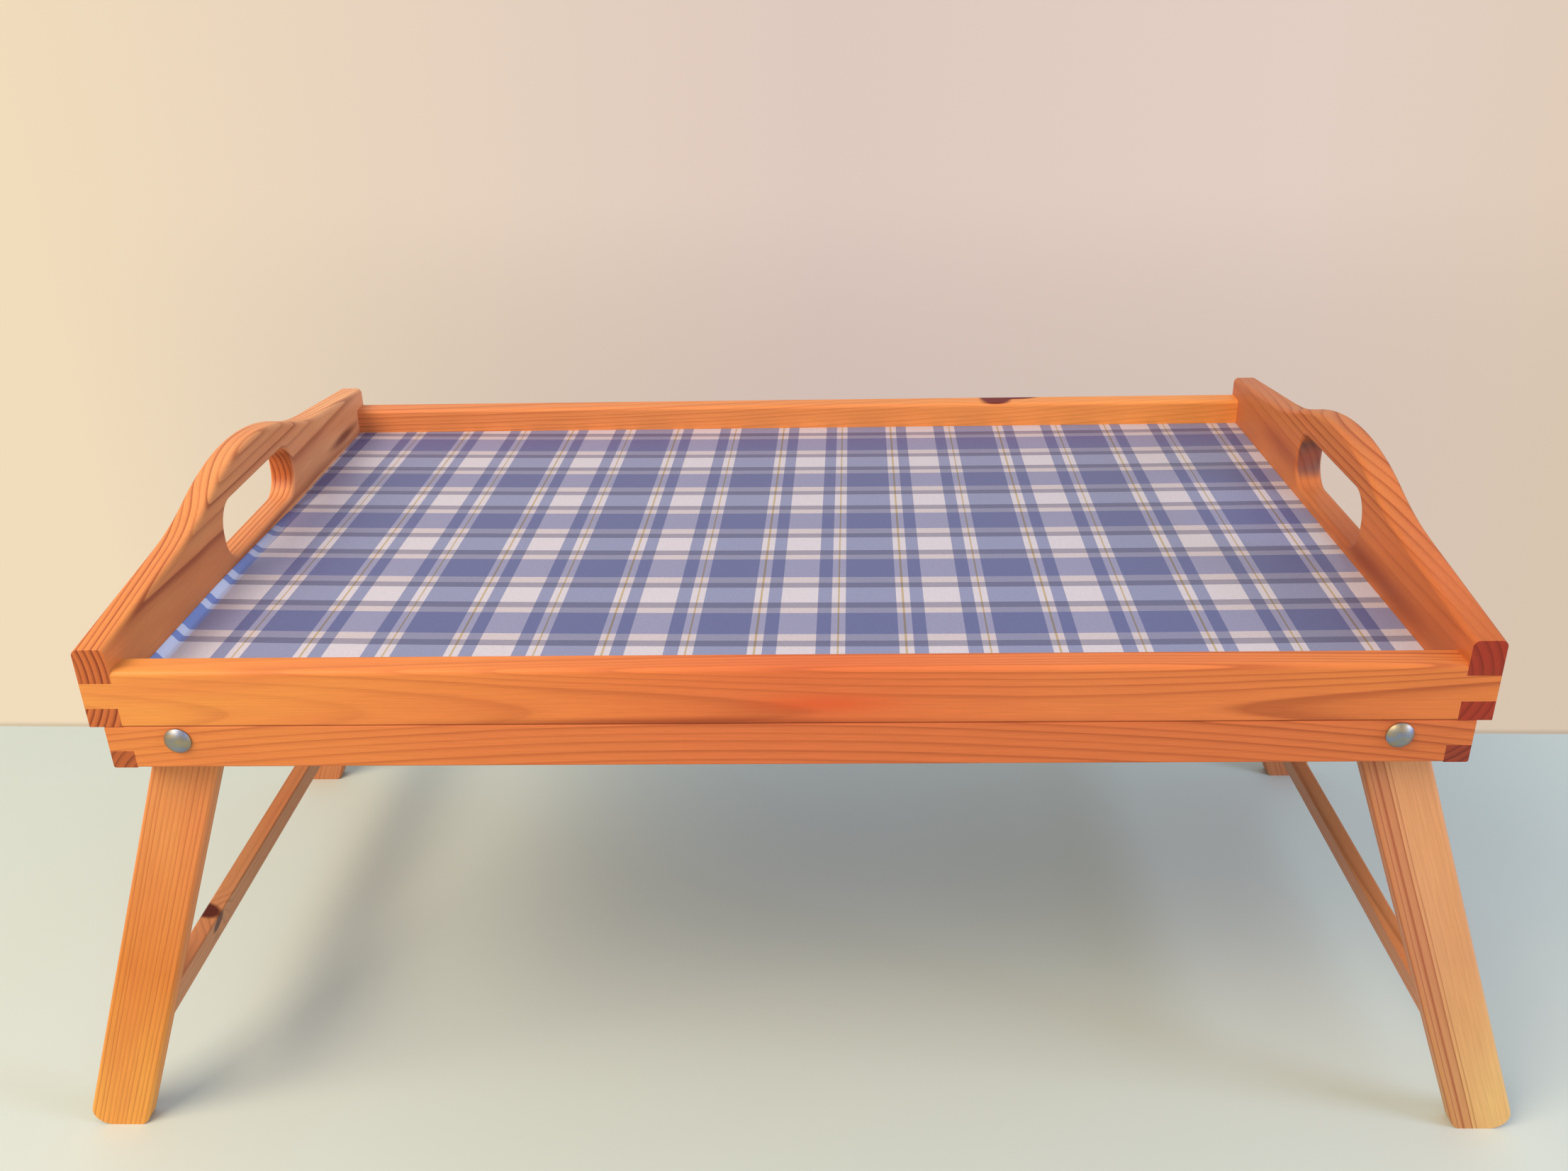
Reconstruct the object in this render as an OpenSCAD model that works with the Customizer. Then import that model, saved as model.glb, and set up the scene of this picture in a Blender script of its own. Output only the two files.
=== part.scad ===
// Folding tray table: a pine bed tray with box-jointed corners, ogee handle
// ends and two pairs of splayed legs that fold flat under the tray.
// Millimetres, +Z up. The origin is on the floor under the middle of the tray,
// +X points to the right-hand handle and -Y to the front rail.

/* [Tray] */
// Length over the two handle ends
tray_l = 500; // [500:10:600]
// Depth over the front and back rails
tray_d = 308; // [260:4:340]
// Thickness of the rails and handle ends
board_t = 12; // [11:0.5:14]
// Height of the upper rails
upper_h = 22.4; // [21:0.2:26]
// Height of the lower rails
lower_h = 17.2; // [16:0.2:19]
// Thickness of the lower cross rails
cross_t = 8.8; // [7:0.2:10]
// Step from the handle end's outer face in to the cross rail's
cross_step = 5.2; // [3:0.2:7]
// Rounding along the top edges of the upper rails
rail_round = 2; // [1:0.2:3]
// Small rounding along the other edges
arris = 0.8; // [0.4:0.1:1]

/* [Box joints] */
// Height of the lower pin of each handle end
end_pin = 7.6; // [5:0.2:9]
// Height of the upper rail's pin
rail_pin = 10.2; // [8:0.2:11]
// Height of the cross rail's pin
cross_pin = 7; // [5:0.2:9]

/* [Handle ends] */
// Height of a handle end's corners above the rail
corner_rise = 9; // [6:0.2:12]
// Slope of the straight shoulder next to each corner
shoulder_slope = 6.5; // [4:0.5:8]
// Steepest slope on the way up to the grip
grip_slope = 20; // [16:0.5:22]
// Radius of the hollow curve below the grip
cove_r = 147; // [110:1:160]
// Radius of the round curve over the grip
crown_r = 147; // [120:1:170]
// Rounding along the top edge
grip_round = 2.4; // [1:0.2:3.6]
// Rounding round the hand slot
slot_round = 2; // [1:0.2:3]
// Length of the hand slot
slot_l = 84; // [80:1:96]
// Height of the hand slot
slot_h = 25; // [24:0.2:28]
// Rounding of the hand slot's corners
slot_r = 11; // [6:0.5:11.5]
// Height of the hand slot above the seam between the two frames
slot_up = 14.8; // [12:0.2:16]

/* [Panel] */
// Thickness of the hardboard panel
panel_t = 2.5; // [2:0.1:3]
// Thickness of the printed sheet on it
sheet_t = 0.5; // [0.3:0.1:0.8]
// Depth of the groove that holds the panel
groove = 5; // [3:0.5:6]

/* [Legs] */
// Width of a leg
leg_w = 24.4; // [22:0.2:25]
// Thickness of a leg
leg_t = 9; // [8:0.5:12]
// Length from the pivot to the sole
leg_reach = 215; // [180:1:215]
// Angle of the open legs from upright
splay = 20; // [12:1:22]
// Rounding along a leg's long edges
leg_round = 1.6; // [0.8:0.2:2.4]
// Rounding of the sole's outer corner
foot_out_r = 8; // [4:0.5:9]
// Rounding of the sole's inner corner
foot_in_r = 4; // [2:0.5:6]

/* [Stretchers] */
// Width of a stretcher
stretch_w = 21; // [18:0.5:26]
// Thickness of a stretcher
stretch_t = 7; // [6:0.2:8]
// Distance from the pivot to the stretcher's middle
stretch_at = 145; // [120:1:150]
// Step from the leg's inner edge to the stretcher's face
stretch_step = 0.8; // [0.4:0.1:2]
// Diameter of the dowels in its ends
dowel_d = 4; // [3:0.5:4]
// Depth of a dowel in the leg
dowel_in_leg = 6; // [4:0.5:6]
// Depth of a dowel in the stretcher
dowel_in_bar = 12; // [8:1:16]
// Distance between the two dowels of an end
dowel_pitch = 11; // [8:0.5:12]

/* [Pivots] */
// Height of the pivots above the rails' lower edge
pivot_up = 11.5; // [11:0.1:12]
// Diameter of the bolt's shank
bolt_d = 5; // [4:0.5:6]
// Diameter of its domed head
head_d = 9.9; // [8:0.1:11]
// Height of the head
head_h = 2.8; // [2:0.1:3.5]
// Height of the head's straight rim
head_rim = 0.6; // [0.3:0.1:1]
// Diameter of the spacer between rail and leg
spacer_d = 13; // [11:0.5:16]
// Thickness of the spacer
spacer_t = 1.5; // [1:0.1:2.5]
// Diameter of the washer under the nut
washer_d = 11; // [10:0.5:13]
// Thickness of the washer
washer_t = 1; // [0.8:0.1:1.5]
// Width of the nut across its flats
nut_af = 8; // [7.5:0.1:10]
// Height of the nut's hexagon
nut_h = 3.8; // [3:0.1:5]
// Height of the nut's round locking collar
collar_h = 1.2; // [0.8:0.1:2]
// Length of the bolt beyond the nut
tail = 1.4; // [0.5:0.1:2]

/* [Fits] */
// Radial clearance of the bolt in rail and leg
pin_fit = 0.05; // [0.02:0.01:0.1]
// Radial clearance of nut, washer and spacer on the bolt
ring_fit = 0.04; // [0.02:0.01:0.1]
// Play on each side of a leg
play = 0.05; // [0.02:0.01:0.1]
// Gap between the open leg and its stop
stop_gap = 0.03; // [0.02:0.01:0.1]
// Gap between the folded leg and the panel
fold_gap = 0.4; // [0.3:0.1:1]
// Gap round the edge of the printed sheet
sheet_gap = 0.1; // [0.05:0.05:0.3]

/* [Hidden] */

$fn = 64;
eps = 0.01;
half_l = tray_l / 2;
half_d = tray_d / 2;
inner_l = tray_l - 2 * board_t;
inner_d = tray_d - 2 * board_t;
rim_h = lower_h + upper_h;
panel_z = pivot_up + leg_w / 2 + fold_gap;
sheet_z = panel_z + panel_t;
base_z = leg_reach * cos(splay) - pivot_up;
pivot_z = base_z + pivot_up;
// The open leg leans on the cross rail's lower inner edge, which sets the pivot
cross_out = half_l - cross_step;
cross_in = cross_out - cross_t;
stop_reach = leg_w / 2 + stop_gap + pivot_up * sin(splay);
pivot_x = cross_in - stop_reach / cos(splay);
leg_y = half_d - board_t - spacer_t - play;
bar_l = 2 * (leg_y - leg_t);
bar_across = -leg_w / 2 + stretch_step + stretch_t / 2;
slot_z = lower_h + slot_up + slot_h / 2;
pine = "#e08a45";
pine_pale = "#e89a58";
zinc = "#a9adb3";

// Points along an arc about c, from angle a0 to a1
function arc(c, r, a0, a1, steps) =
    [for (i = [0:steps]) let (a = a0 + (a1 - a0) * i / steps) c + r * [cos(a), sin(a)]];

// Rectangle with its own radius at each corner, from the lower left one round
module soft_rect(w, h, r) {
    corners = [[0, 0], [w, 0], [w, h], [0, h]];
    inward = [[1, 1], [-1, 1], [-1, -1], [1, -1]];
    difference() {
        square([w, h]);
        for (i = [0:3]) if (r[i] > 0)
            translate(corners[i]) square(2 * r[i], center = true);
    }
    for (i = [0:3]) if (r[i] > 0)
        translate(corners[i] + r[i] * inward[i]) circle(r[i]);
}

// A bar along X from a section drawn in Y and Z, front face on y = 0
module x_bar(l) {
    rotate([90, 0, 90])
        translate([0, 0, -l / 2]) linear_extrude(l) children();
}

module in_tray() {
    translate([0, 0, base_z]) children();
}

// Carries a piece drawn at the front right to another corner
module at_corner(side, end) {
    mirror([side < 0 ? 1 : 0, 0, 0])
        mirror([0, end > 0 ? 1 : 0, 0])
            children();
}

// ---- Upper frame ----

// Room for the panel in the four boards round it
module panel_room() {
    translate([0, 0, panel_z + panel_t / 2])
        cube([inner_l + 2 * groove, inner_d + 2 * groove, panel_t], center = true);
}

module upper_rail() {
    in_tray() difference() {
        translate([0, -half_d, lower_h])
            x_bar(tray_l)
                soft_rect(board_t, upper_h, [arris, arris, rail_round, rail_round]);
        for (side = [-1, 1])
            translate([side * (half_l - board_t / 2), -half_d + board_t / 2, 0]) {
                translate([0, 0, lower_h + end_pin / 2 - eps])
                    cube([board_t, 2 * board_t, end_pin + 2 * eps], center = true);
                translate([0, 0, rim_h / 2 + lower_h + end_pin + rail_pin])
                    cube([board_t, 2 * board_t, rim_h], center = true);
            }
        panel_room();
    }
}

// The top edge runs, from each corner to the middle, along a straight shoulder,
// a hollow arc and a round arc, each tangent to the next
turn_y = crown_r * sin(grip_slope);
shoulder_y = turn_y + cove_r * (sin(grip_slope) - sin(shoulder_slope));
shoulder_h = rim_h + corner_rise + (half_d - shoulder_y) * tan(shoulder_slope);
turn_h = shoulder_h + cove_r * (cos(shoulder_slope) - cos(grip_slope));
crown_h = turn_h + crown_r * (1 - cos(grip_slope));
cove_y = turn_y + cove_r * sin(grip_slope);
cove_h = turn_h + cove_r * cos(grip_slope);

// Height of the top edge at a distance y from the middle
function end_top(y) =
    let (d = abs(y))
    d < turn_y ? crown_h - crown_r + sqrt(pow(crown_r, 2) - pow(d, 2)) :
    d < shoulder_y ? cove_h - sqrt(pow(cove_r, 2) - pow(cove_y - d, 2)) :
    shoulder_h - (d - shoulder_y) * tan(shoulder_slope);

// Outline of the board cut across at y, with its two top corners rounded
function end_ring(y) =
    let (side = board_t / 2, mid = side - grip_round, mid_h = end_top(y) - grip_round)
    [for (p = concat([[-side, lower_h]],
                     arc([-mid, mid_h], grip_round, 180, 90, 6),
                     arc([mid, mid_h], grip_round, 90, 0, 6),
                     [[side, lower_h]]))
        [p[0], y, p[1]]];

// The board with its ogee top, skinned over rings along its length
module end_blank() {
    step = 5;
    hollow = [for (y = [turn_y + step:step:shoulder_y - step]) y];
    right = concat([for (y = [step:step:turn_y - step]) y], [turn_y], hollow,
        [shoulder_y, half_d]);
    stops = concat([for (i = [len(right) - 1:-1:0]) -right[i]], [0], right);
    rings = [for (y = stops) end_ring(y)];
    n = len(rings[0]);
    last = len(stops) - 1;
    polyhedron(
        points = [for (ring = rings, p = ring) p],
        faces = concat(
            [[for (i = [0:n - 1]) i], [for (i = [n - 1:-1:0]) last * n + i]],
            [for (k = [0:last - 1], i = [0:n - 1]) let (j = (i + 1) % n)
                [k * n + i, (k + 1) * n + i, (k + 1) * n + j, k * n + j]]
        )
    );
}

// Section of the slot's cutter from its middle out, flared at both faces
module slot_section(reach) {
    difference() {
        translate([0, -board_t / 2 - eps])
            square([reach + slot_round, board_t + 2 * eps]);
        translate([reach, slot_round - board_t / 2])
            square([2 * slot_round, board_t - 2 * slot_round]);
        for (face = [-1, 1])
            translate([reach + slot_round, face * (board_t / 2 - slot_round)])
                circle(slot_round);
    }
}

module slot_cutter() {
    flat_l = slot_l - 2 * slot_r;
    flat_h = slot_h - 2 * slot_r;
    $fn = 32;
    for (x = [-1, 1], y = [-1, 1])
        translate([x * flat_l / 2, y * flat_h / 2, 0])
            rotate_extrude() slot_section(slot_r);
    for (turned = [0, 180]) rotate([0, 0, turned]) {
        translate([0, flat_h / 2, 0]) rotate([90, 0, 0])
            linear_extrude(flat_h) slot_section(slot_l / 2);
        rotate([0, 0, 90]) translate([0, flat_l / 2, 0]) rotate([90, 0, 0])
            linear_extrude(flat_l) slot_section(slot_h / 2);
    }
}

module handle_end() {
    in_tray() translate([half_l - board_t / 2, 0, 0]) difference() {
        end_blank();
        translate([0, 0, slot_z]) rotate([90, 0, 90]) slot_cutter();
        for (end = [-1, 1])
            translate([0, end * (half_d - board_t / 2), lower_h + end_pin + rail_pin / 2])
                cube([2 * board_t, board_t + 2 * eps, rail_pin], center = true);
        translate([board_t / 2 - half_l, 0, 0]) panel_room();
    }
}

module tray_front_rail() { color(pine) upper_rail(); }
module tray_back_rail() { color(pine) mirror([0, 1, 0]) upper_rail(); }
module right_handle_end() { color(pine) handle_end(); }
module left_handle_end() { color(pine) mirror([1, 0, 0]) handle_end(); }

// ---- Panel ----

module tray_panel() {
    color("#8a6a48") in_tray() panel_room();
}

module panel_laminate() {
    color("#8f9cc4") in_tray()
        translate([0, 0, sheet_z + sheet_t / 2])
            cube([inner_l - 2 * sheet_gap, inner_d - 2 * sheet_gap, sheet_t], center = true);
}

// ---- Lower frame ----

// Clearance hole of one pivot bolt, through the rail and the leg
module bolt_room(r) {
    translate([pivot_x, -half_d - eps, pivot_z])
        rotate([-90, 0, 0]) cylinder(r = r, h = board_t + spacer_t + leg_t + 1);
}

module lower_rail() {
    difference() {
        in_tray() difference() {
            translate([0, -half_d, 0])
                x_bar(2 * cross_out) soft_rect(board_t, lower_h, [arris, arris, arris, arris]);
            for (side = [-1, 1])
                translate([side * (cross_out - cross_t / 2), -half_d + board_t / 2,
                           cross_pin / 2 - eps])
                    cube([cross_t, 2 * board_t, cross_pin + 2 * eps], center = true);
        }
        for (side = [-1, 1])
            at_corner(side, -1) bolt_room(bolt_d / 2 + pin_fit);
    }
}

module cross_rail() {
    in_tray() difference() {
        translate([cross_in, half_d, 0]) rotate([90, 0, 0])
            linear_extrude(tray_d) soft_rect(cross_t, lower_h, [0, arris, 0, 0]);
        for (end = [-1, 1])
            translate([cross_in + cross_t / 2, end * (half_d - board_t / 2),
                       (cross_pin + lower_h) / 2 + eps])
                cube([2 * cross_t, board_t, lower_h - cross_pin + 2 * eps], center = true);
    }
}

module lower_front_rail() { color(pine) lower_rail(); }
module lower_back_rail() { color(pine) mirror([0, 1, 0]) lower_rail(); }
module lower_right_cross_rail() { color(pine) cross_rail(); }
module lower_left_cross_rail() { color(pine) mirror([1, 0, 0]) cross_rail(); }

// ---- Legs ----

// Places a leg's own frame, with the pivot at the origin and the sole below
module leg_frame() {
    translate([pivot_x, 0, pivot_z]) rotate([0, -splay, 0]) children();
}

// Side view of a leg: a round top about the pivot and a sole level with the floor
module leg_outline() {
    half_w = leg_w / 2;
    out_x = half_w - foot_out_r;
    in_x = foot_in_r - half_w;
    out_y = foot_out_r / cos(splay) - leg_reach - out_x * tan(splay);
    in_y = foot_in_r / cos(splay) - leg_reach - in_x * tan(splay);
    sole = 270 - splay;
    polygon(concat(
        arc([0, 0], half_w, 0, 180, 32),
        arc([in_x, in_y], foot_in_r, 180, sole, 8),
        arc([out_x, out_y], foot_out_r, sole, 360, 12)
    ));
}

module leg_dowels() {
    for (i = [-1, 1])
        translate([bar_across, -leg_y + leg_t - dowel_in_leg, -stretch_at + i * dowel_pitch / 2])
            rotate([-90, 0, 0])
                cylinder(r = dowel_d / 2, h = dowel_in_leg + dowel_in_bar);
}

// The front right leg
module leg() {
    difference() {
        leg_frame() difference() {
            intersection() {
                translate([0, -leg_y + leg_t, 0]) rotate([90, 0, 0])
                    linear_extrude(leg_t) leg_outline();
                translate([-leg_w / 2, -leg_y, -2 * leg_reach])
                    linear_extrude(3 * leg_reach)
                        soft_rect(leg_w, leg_t, [leg_round, leg_round, leg_round, leg_round]);
            }
            leg_dowels();
        }
        bolt_room(bolt_d / 2 + pin_fit);
    }
}

// The right stretcher, tilted with its legs
module stretcher() {
    leg_frame() difference() {
        translate([bar_across - stretch_t / 2, bar_l / 2, -stretch_at - stretch_w / 2])
            rotate([90, 0, 0]) linear_extrude(bar_l)
                soft_rect(stretch_t, stretch_w, [arris, arris, arris, arris]);
        for (end = [-1, 1])
            mirror([0, end > 0 ? 1 : 0, 0]) leg_dowels();
    }
}

module dowels() {
    leg_frame()
        for (end = [-1, 1])
            mirror([0, end > 0 ? 1 : 0, 0]) leg_dowels();
}

module leg_front_right() { color(pine_pale) at_corner(1, -1) leg(); }
module leg_back_right() { color(pine_pale) at_corner(1, 1) leg(); }
module leg_front_left() { color(pine_pale) at_corner(-1, -1) leg(); }
module leg_back_left() { color(pine_pale) at_corner(-1, 1) leg(); }
module right_stretcher() { color(pine) stretcher(); }
module left_stretcher() { color(pine) mirror([1, 0, 0]) stretcher(); }
module right_stretcher_dowels() { color("#d9b487") dowels(); }
module left_stretcher_dowels() { color("#d9b487") mirror([1, 0, 0]) dowels(); }

// ---- Pivots ----

// A bolt's own frame: +Z runs inwards from the front rail's face
module bolt_frame() {
    translate([pivot_x, -half_d, pivot_z]) rotate([-90, 0, 0]) children();
}

module bolt() {
    dome_h = head_h - head_rim;
    dome_r = (pow(head_d / 2, 2) + pow(dome_h, 2)) / (2 * dome_h);
    grip_l = board_t + spacer_t + leg_t + 2 * play + washer_t + nut_h + collar_h;
    bolt_frame() {
        cylinder(r = bolt_d / 2, h = grip_l + tail);
        translate([0, 0, -head_rim]) cylinder(r = head_d / 2, h = head_rim);
        translate([0, 0, -head_rim]) mirror([0, 0, 1]) rotate_extrude()
            intersection() {
                translate([0, dome_h - dome_r]) circle(dome_r);
                square([head_d / 2, dome_h]);
            }
    }
}

module ring(d, t, at) {
    bolt_frame() translate([0, 0, at]) difference() {
        cylinder(r = d / 2, h = t);
        translate([0, 0, -eps]) cylinder(r = bolt_d / 2 + ring_fit, h = t + 2 * eps);
    }
}

module nut() {
    at = board_t + spacer_t + leg_t + 2 * play + washer_t;
    bolt_frame() translate([0, 0, at]) difference() {
        union() {
            cylinder(r = nut_af / 2 / cos(30), h = nut_h, $fn = 6);
            cylinder(r = nut_af / 2 - 0.3, h = nut_h + collar_h);
        }
        translate([0, 0, -eps])
            cylinder(r = bolt_d / 2 + ring_fit, h = nut_h + collar_h + 2 * eps);
    }
}

module at_all_corners() {
    for (side = [-1, 1], end = [-1, 1]) at_corner(side, end) children();
}

module bolt_front_right() { color(zinc) at_corner(1, -1) bolt(); }
module bolt_back_right() { color(zinc) at_corner(1, 1) bolt(); }
module bolt_front_left() { color(zinc) at_corner(-1, -1) bolt(); }
module bolt_back_left() { color(zinc) at_corner(-1, 1) bolt(); }

module pivot_spacers() {
    color("#e9e6dc") at_all_corners() ring(spacer_d, spacer_t, board_t);
}

module nut_washers() {
    color(zinc) at_all_corners()
        ring(washer_d, washer_t, board_t + spacer_t + leg_t + 2 * play);
}

module lock_nuts() {
    color(zinc) at_all_corners() nut();
}

tray_front_rail();
tray_back_rail();
left_handle_end();
right_handle_end();
tray_panel();
panel_laminate();
lower_front_rail();
lower_back_rail();
lower_left_cross_rail();
lower_right_cross_rail();
leg_front_left();
leg_back_left();
leg_front_right();
leg_back_right();
left_stretcher();
right_stretcher();
left_stretcher_dowels();
right_stretcher_dowels();
bolt_front_left();
bolt_back_left();
bolt_front_right();
bolt_back_right();
pivot_spacers();
nut_washers();
lock_nuts();
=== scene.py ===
# %% [markdown]
# # Folding tray table
# A bed tray of lacquered pine: four boards box-jointed into a tray, a lower frame under
# them, and two pairs of splayed legs that fold flat. A printed check sheet covers the panel.
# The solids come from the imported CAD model, already in metres and in their places. Most of
# them have the right shape, so this lesson softens their edges and gives them real finishes.
# It rebuilds only the sheet, the bolts and the nuts, whose looks need a finer mesh.

import math

import bmesh
import bpy
from mathutils import Matrix, Vector


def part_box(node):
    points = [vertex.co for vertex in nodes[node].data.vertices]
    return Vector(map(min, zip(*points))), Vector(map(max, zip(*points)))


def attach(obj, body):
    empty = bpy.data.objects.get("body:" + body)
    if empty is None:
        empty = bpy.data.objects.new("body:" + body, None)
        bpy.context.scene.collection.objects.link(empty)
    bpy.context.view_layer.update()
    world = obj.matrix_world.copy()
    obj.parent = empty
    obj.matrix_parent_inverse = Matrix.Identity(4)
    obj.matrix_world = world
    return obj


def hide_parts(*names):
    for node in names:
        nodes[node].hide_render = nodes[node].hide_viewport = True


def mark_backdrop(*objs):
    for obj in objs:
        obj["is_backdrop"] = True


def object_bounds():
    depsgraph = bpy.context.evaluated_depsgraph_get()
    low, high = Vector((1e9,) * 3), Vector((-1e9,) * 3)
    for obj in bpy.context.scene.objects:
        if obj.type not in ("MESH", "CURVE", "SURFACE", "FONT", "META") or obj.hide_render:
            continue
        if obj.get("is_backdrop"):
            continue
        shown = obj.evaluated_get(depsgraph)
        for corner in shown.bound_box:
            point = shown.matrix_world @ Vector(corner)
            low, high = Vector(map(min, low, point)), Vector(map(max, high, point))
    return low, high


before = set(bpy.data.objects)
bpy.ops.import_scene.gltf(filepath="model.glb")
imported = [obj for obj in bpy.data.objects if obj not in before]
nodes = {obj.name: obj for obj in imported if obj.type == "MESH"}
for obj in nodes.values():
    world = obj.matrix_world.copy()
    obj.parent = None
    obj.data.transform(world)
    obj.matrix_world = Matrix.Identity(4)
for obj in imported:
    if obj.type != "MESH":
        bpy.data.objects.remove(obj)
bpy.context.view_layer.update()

# %% [markdown]
# ## Where things are
# Every position below comes from the boxes of the CAD nodes, so the looks follow the solids.

# %% Main measures
MM = 0.001
rail_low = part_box("tray_front_rail")[0]
foot_rail_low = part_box("lower_front_rail")[0]
sheet_low, sheet_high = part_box("panel_laminate")
front_y = rail_low.y
print("front face y", round(front_y, 4), "sheet top z", round(sheet_high.z, 4))

# %% [markdown]
# ## The camera
# The table is seen from in front and a little above, with the camera 43 cm before the front
# rail. So near, a wide lens is needed and the legs splay strongly in the picture. The three
# angles, in radians, say how far the camera is turned, tipped down and rolled.

# %% Camera
turn, tip, roll = -0.0321, 0.4395, -0.0216
ahead = Vector((math.sin(turn) * math.cos(tip), math.cos(turn) * math.cos(tip), -math.sin(tip)))
level = Vector((math.cos(turn), -math.sin(turn), 0))
rise = level.cross(ahead)
right = math.cos(roll) * level + math.sin(roll) * rise
up = math.cos(roll) * rise - math.sin(roll) * level
scene = bpy.context.scene
camera = bpy.data.objects.new("camera", bpy.data.cameras.new("camera"))
scene.collection.objects.link(camera)
look = Matrix((right, up, -ahead)).transposed().to_4x4()
eye = (0.0161, front_y - 0.4325, foot_rail_low.z + 0.2751)
camera.matrix_world = Matrix.Translation(eye) @ look
camera.data.sensor_width = 36
camera.data.lens = 32.3
camera.data.clip_start = 0.01
scene.camera = camera
scene.view_settings.view_transform = "Standard"
print("lens", camera.data.lens, "mm, eye", [round(v, 3) for v in eye])

# %% [markdown]
# ## Colours and nodes
# Colours are written as the sRGB hex values that a picture shows. Blender computes in
# linear light, so one function turns them. Another adds a node, with its settings and
# what goes into it, and gives back one of its outputs. A ramp's "stops" are pairs of a
# place and either a colour or a plain number.

# %% Helpers for materials
def linear(colour):
    """A hex colour such as #e08a45 as linear red, green and blue, with alpha 1."""
    parts = [int(colour[i:i + 2], 16) / 255 for i in (1, 3, 5)]
    return [c / 12.92 if c < 0.04045 else ((c + 0.055) / 1.055) ** 2.4 for c in parts] + [1.0]


def add(tree, kind, settings, inputs, give=0):
    """Adds a node, sets it, joins or fills its inputs and returns one output."""
    node = tree.nodes.new("ShaderNode" + kind)
    for name, value in settings.items():
        if name != "stops":
            setattr(node, name, value)
            continue
        elements = node.color_ramp.elements
        while len(elements) < len(value):
            elements.new(0.5)
        for element, (at, colour) in zip(elements, value):
            element.position = at
            element.color = linear(colour) if isinstance(colour, str) else (colour,) * 3 + (1,)
    for socket, value in inputs.items():
        if isinstance(value, bpy.types.NodeSocket):
            tree.links.new(value, node.inputs[socket])
        else:
            node.inputs[socket].default_value = value
    return None if give is None else node.outputs[give]


def new_material(name):
    """A material with an empty tree."""
    material = bpy.data.materials.new(name)
    material.use_nodes = True
    material.node_tree.nodes.clear()
    return material, material.node_tree


def surface_of(tree, looks):
    """Gives a material one surface with these looks."""
    surface = add(tree, "BsdfPrincipled", {}, looks)
    add(tree, "OutputMaterial", {}, {"Surface": surface}, give=None)


def dress(node, *materials):
    """Puts materials on a CAD node or a piece, in place of what it had."""
    node.data.materials.clear()
    for material in materials:
        node.data.materials.append(material)


# %% [markdown]
# Most nodes in this lesson only calculate. These short forms keep their lines readable.

# %% Short forms for calculating
def point(tree):
    """Where a point of the surface is, in metres."""
    return add(tree, "TexCoord", {}, {}, give="Object")


def coordinate(tree, place, axis):
    """One of a place's three coordinates."""
    return add(tree, "SeparateXYZ", {}, {0: place}, give=axis)


def calc(tree, operation, *numbers):
    """Calculates with numbers."""
    return add(tree, "Math", {"operation": operation}, dict(enumerate(numbers)))


def vector_calc(tree, operation, *places):
    """Calculates with places or directions. A length or a dot product is one number."""
    give = "Value" if operation in ("LENGTH", "DOT_PRODUCT") else 0
    return add(tree, "VectorMath", {"operation": operation}, dict(enumerate(places)), give)


def scaled(tree, place, factor):
    """A place or a colour times a number."""
    return add(tree, "VectorMath", {"operation": "SCALE"}, {0: place, "Scale": factor})


def remap(tree, value, old, new=(0, 1), kind="LINEAR"):
    """Turns one range of numbers into another and stops at both ends."""
    return add(tree, "MapRange", {"interpolation_type": kind}, {
        "Value": value, "From Min": old[0], "From Max": old[1],
        "To Min": new[0], "To Max": new[1]})


def ramp(tree, value, stops):
    """A row of colours or numbers, read off at a value from 0 to 1."""
    return add(tree, "ValToRGB", {"stops": stops}, {"Fac": value})


def looks_on(tree):
    """1 for rays that show a background: from the camera, a mirror or through glass."""
    path = tree.nodes.new("ShaderNodeLightPath").outputs
    seen = calc(tree, "MAXIMUM", path["Is Camera Ray"], path["Is Glossy Ray"])
    return calc(tree, "MAXIMUM", seen, path["Is Transmission Ray"])


# %% [markdown]
# ## The floor and the wall
# The table stands on a pale, nearly matt table top, and a warm pale wall is behind it.
# The wall's tone is laid flat on the floor, from just behind the table, so nothing stands in
# the way of a camera that looks from the back. Camera and mirror rays see it as a tone that
# is warmer to the left, with painted shade low behind the table and a painted shadow line,
# 7 mm wide, along its foot. The foot isn't quite square to the table.

# %% Floor and wall
reach, wall_end = 12, 14
foot_y, foot_skew = -front_y + 0.03225, 0.23125
foot_left, foot_right = foot_y + foot_skew, foot_y - foot_skew
floor = bpy.data.objects.new("floor", bpy.data.meshes.new("floor"))
scene.collection.objects.link(floor)
floor.data.from_pydata([(-reach, -reach, 0), (reach, -reach, 0), (reach, foot_right, 0),
                        (-reach, foot_left, 0)], [], [(0, 1, 2, 3)])
material, tree = new_material("painted_floor")
surface_of(tree, {"Base Color": linear("#cbd3c6"), "Roughness": 0.5,
                  "Specular IOR Level": 0.3})
dress(floor, material)

backdrop = bpy.data.objects.new("backdrop", bpy.data.meshes.new("backdrop"))
scene.collection.objects.link(backdrop)
backdrop.data.from_pydata([(-reach, foot_left, 0), (reach, foot_right, 0),
                           (reach, wall_end, 0), (-reach, wall_end, 0)], [], [(0, 1, 2, 3)])
material, tree = new_material("wall_tone")
seen = looks_on(tree)
shaded = add(tree, "BsdfDiffuse", {}, {"Color": linear("#dccfc4")})
here = vector_calc(tree, "SUBTRACT", point(tree), (eye[0], eye[1], 0))
across, away = (coordinate(tree, here, i) for i in range(2))
across = calc(tree, "DIVIDE", across, away)
across = remap(tree, across, (-0.56, 0.56))
tone = ramp(tree, across, [
    (0, "#f1dcbc"), (0.25, "#e7d3be"), (0.5, "#dfcac0"), (0.8, "#e3cfc3"), (1, "#e0ccb6")])
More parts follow.
